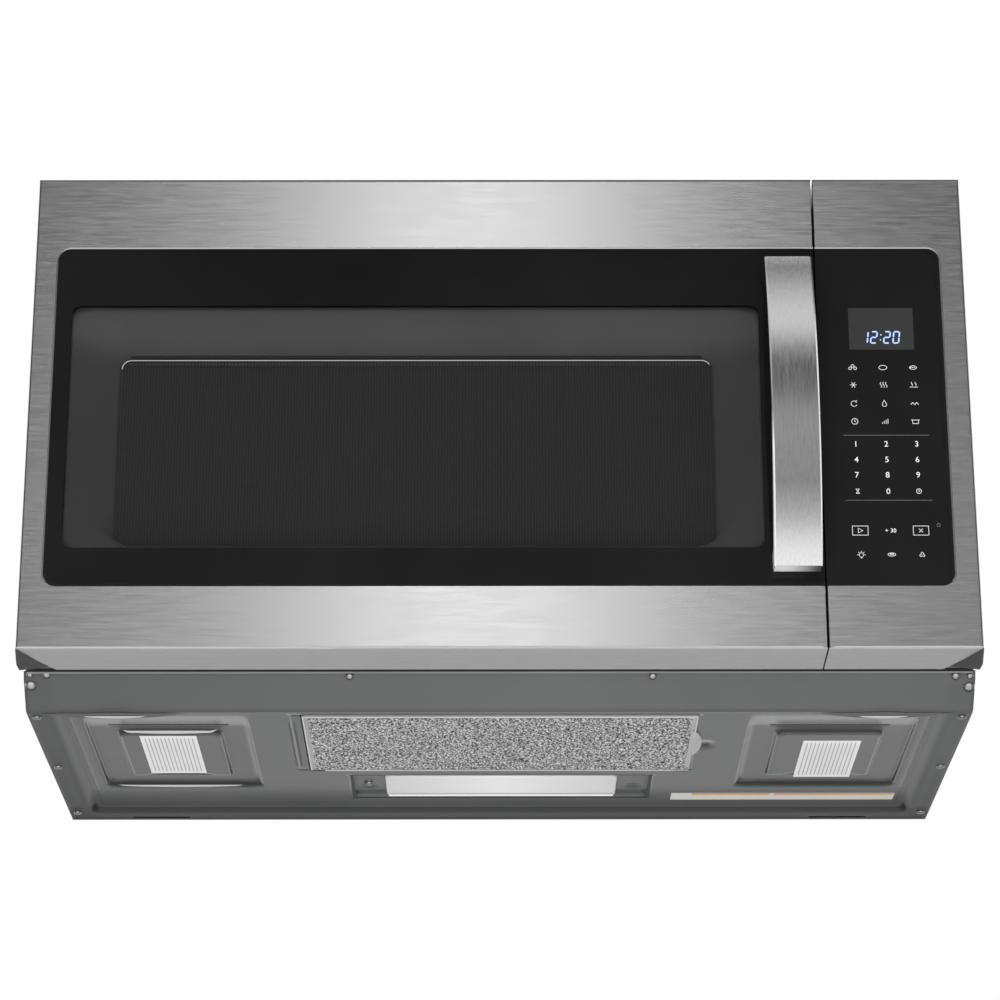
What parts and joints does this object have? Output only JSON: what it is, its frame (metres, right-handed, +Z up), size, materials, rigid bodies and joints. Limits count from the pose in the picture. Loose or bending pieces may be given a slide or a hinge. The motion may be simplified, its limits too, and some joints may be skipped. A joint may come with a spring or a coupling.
{
  "type": "over-the-range microwave oven",
  "caption": "Wall-hung microwave oven with a side-hinged glass door, touch panel, turntable and a vented underside with filter and lamp.",
  "frame": {"origin": "centre of the wall face, midway between the ends and midway between top and bottom", "axes": "+X to the right as seen from the front, +Y towards the wall, +Z up"},
  "size_m": [0.759, 0.4359, 0.4368],
  "materials": {
    "brushed_steel": "brushed along the width",
    "handle_steel": "brushed along the length",
    "black_glass": "gloss, tinted almost black",
    "clear_glass": "clear",
    "painted_grey": "satin grey paint",
    "frame_grey": "satin paint",
    "cavity_paint": "smooth enamel",
    "galvanised": "zinc coated sheet",
    "dark_plastic": "matt",
    "grey_plastic": "matt",
    "screen_metal": "black perforated sheet",
    "filter_aluminium": "bare aluminium",
    "lens_white": "gloss white diffuser",
    "screw_steel": "bright zinc",
    "circuit_board": "solder mask",
    "display_dark": "gloss",
    "copper_core": "laminated steel and lacquered wire",
    "charcoal": "granular carbon in a net",
    "white_plastic": "matt",
    "spring_steel": "drawn wire",
    "mica": "mica sheet",
    "print_white": "white print on glass",
    "print_grey": "grey print",
    "display_light": "lit blue-white digits",
    "label_paper": "plain label paper",
    "label_ink": "label ink"
  },
  "bodies": {
    "oven": {"outer_case": "painted_grey", "rear_panel": "galvanised", "base_plate": "painted_grey", "front_frame": "frame_grey", "oven_cavity": "cavity_paint", "lamp_cover": "painted_grey", "lamp_lens": "lens_white", "cooktop_lamp_board": "circuit_board", "base_screws": "screw_steel", "front_screws": "screw_steel", "hinge_brackets": "galvanised", "interlock_switches": "dark_plastic", "switch_bracket": "white_plastic", "panel_frame": "brushed_steel", "panel_glass": "black_glass", "panel_backing": "dark_plastic", "display_module": "display_dark", "control_board": "circuit_board", "turntable_motor": "galvanised", "waveguide": "galvanised", "waveguide_cover": "mica", "magnetron": "galvanised", "transformer": "copper_core", "capacitor": "galvanised", "line_filter_board": "circuit_board", "cavity_lamp": "white_plastic", "blower_motor": "galvanised", "blower_housing": "galvanised", "cooling_fan_motor": "galvanised", "cooling_fan_shroud": "galvanised", "vent_grille": "dark_plastic", "charcoal_filter": "charcoal", "cabinet_nut_plates": "galvanised", "cord_gland": "dark_plastic"},
    "door": {"door_skin": "brushed_steel", "door_glass": "black_glass", "door_bezel": "grey_plastic", "door_screen": "screen_metal", "door_inner_panel": "frame_grey", "choke_cover": "dark_plastic", "inner_window": "clear_glass", "door_handle": "handle_steel", "handle_screws": "screw_steel", "hinge_arms": "galvanised", "latch_spring": "spring_steel"},
    "latch": {"door_latch": "white_plastic"},
    "turntable": {"glass_tray": "clear_glass", "turntable_coupler": "white_plastic"},
    "ring": {"roller_ring": "white_plastic"},
    "roller_a": {"roller_a": "white_plastic"},
    "roller_b": {"roller_b": "white_plastic"},
    "roller_c": {"roller_c": "white_plastic"},
    "blower": {"blower_wheels": "dark_plastic", "blower_shaft": "screw_steel"},
    "cooling_fan": {"cooling_fan_blade": "dark_plastic"},
    "grease_filter": {"filter_frame": "filter_aluminium", "filter_mesh": "filter_aluminium"},
    "plunger_primary": {"plunger_primary": "white_plastic"},
    "plunger_monitor": {"plunger_monitor": "white_plastic"},
    "plunger_secondary": {"plunger_secondary": "white_plastic"}
  },
  "joints": [
    {"name": "door_swing", "type": "hinge", "parent": "oven", "child": "door", "pos_m": [-0.357, -0.365, 0], "axis": [0, 0, -1], "range_deg": [0, 95]},
    {"name": "latch_lift", "type": "slide", "parent": "door", "child": "latch", "axis": [0, 0, 1], "range_m": [0, 0.004], "stiffness_N_per_m": 600, "springref_m": -0.005, "deforming": ["latch_spring"]},
    {"name": "turntable_spin", "type": "hinge", "parent": "oven", "child": "turntable", "pos_m": [-0.07325, -0.18265, 0], "axis": [0, 0, 1], "continuous": true},
    {"name": "ring_spin", "type": "hinge", "parent": "oven", "child": "ring", "pos_m": [-0.07325, -0.18265, 0], "axis": [0, 0, 1], "continuous": true},
    {"name": "roller_a_spin", "type": "hinge", "parent": "ring", "child": "roller_a", "pos_m": [0.03075, -0.18265, -0.1262], "axis": [1, 0, 0], "continuous": true},
    {"name": "roller_b_spin", "type": "hinge", "parent": "ring", "child": "roller_b", "pos_m": [-0.12525, -0.09258, -0.1262], "axis": [-0.5, 0.866, 0], "continuous": true},
    {"name": "roller_c_spin", "type": "hinge", "parent": "ring", "child": "roller_c", "pos_m": [-0.12525, -0.27272, -0.1262], "axis": [-0.5, -0.866, 0], "continuous": true},
    {"name": "blower_spin", "type": "hinge", "parent": "oven", "child": "blower", "pos_m": [0, -0.077, 0.157], "axis": [1, 0, 0], "continuous": true},
    {"name": "cooling_fan_spin", "type": "hinge", "parent": "oven", "child": "cooling_fan", "pos_m": [0.28375, -0.17, -0.0025], "axis": [0, 1, 0], "continuous": true},
    {"name": "filter_slide", "type": "slide", "parent": "oven", "child": "grease_filter", "axis": [-1, 0, 0], "range_m": [0, 0.008]},
    {"name": "primary_switch_push", "type": "slide", "parent": "oven", "child": "plunger_primary", "axis": [0, 1, 0], "range_m": [0, 0.0015], "stiffness_N_per_m": 300, "springref_m": -0.002},
    {"name": "monitor_switch_push", "type": "slide", "parent": "oven", "child": "plunger_monitor", "axis": [0, 1, 0], "range_m": [0, 0.0015], "stiffness_N_per_m": 300, "springref_m": -0.002},
    {"name": "secondary_switch_push", "type": "slide", "parent": "oven", "child": "plunger_secondary", "axis": [0, 1, 0], "range_m": [0, 0.0015], "stiffness_N_per_m": 300, "springref_m": -0.002}
  ],
  "couplings": [
    {"joint": "ring_spin", "follows": "turntable_spin", "ratio": 0.5},
    {"joint": "roller_a_spin", "follows": "turntable_spin", "ratio": -6.5},
    {"joint": "roller_b_spin", "follows": "turntable_spin", "ratio": -6.5},
    {"joint": "roller_c_spin", "follows": "turntable_spin", "ratio": -6.5}
  ]
}
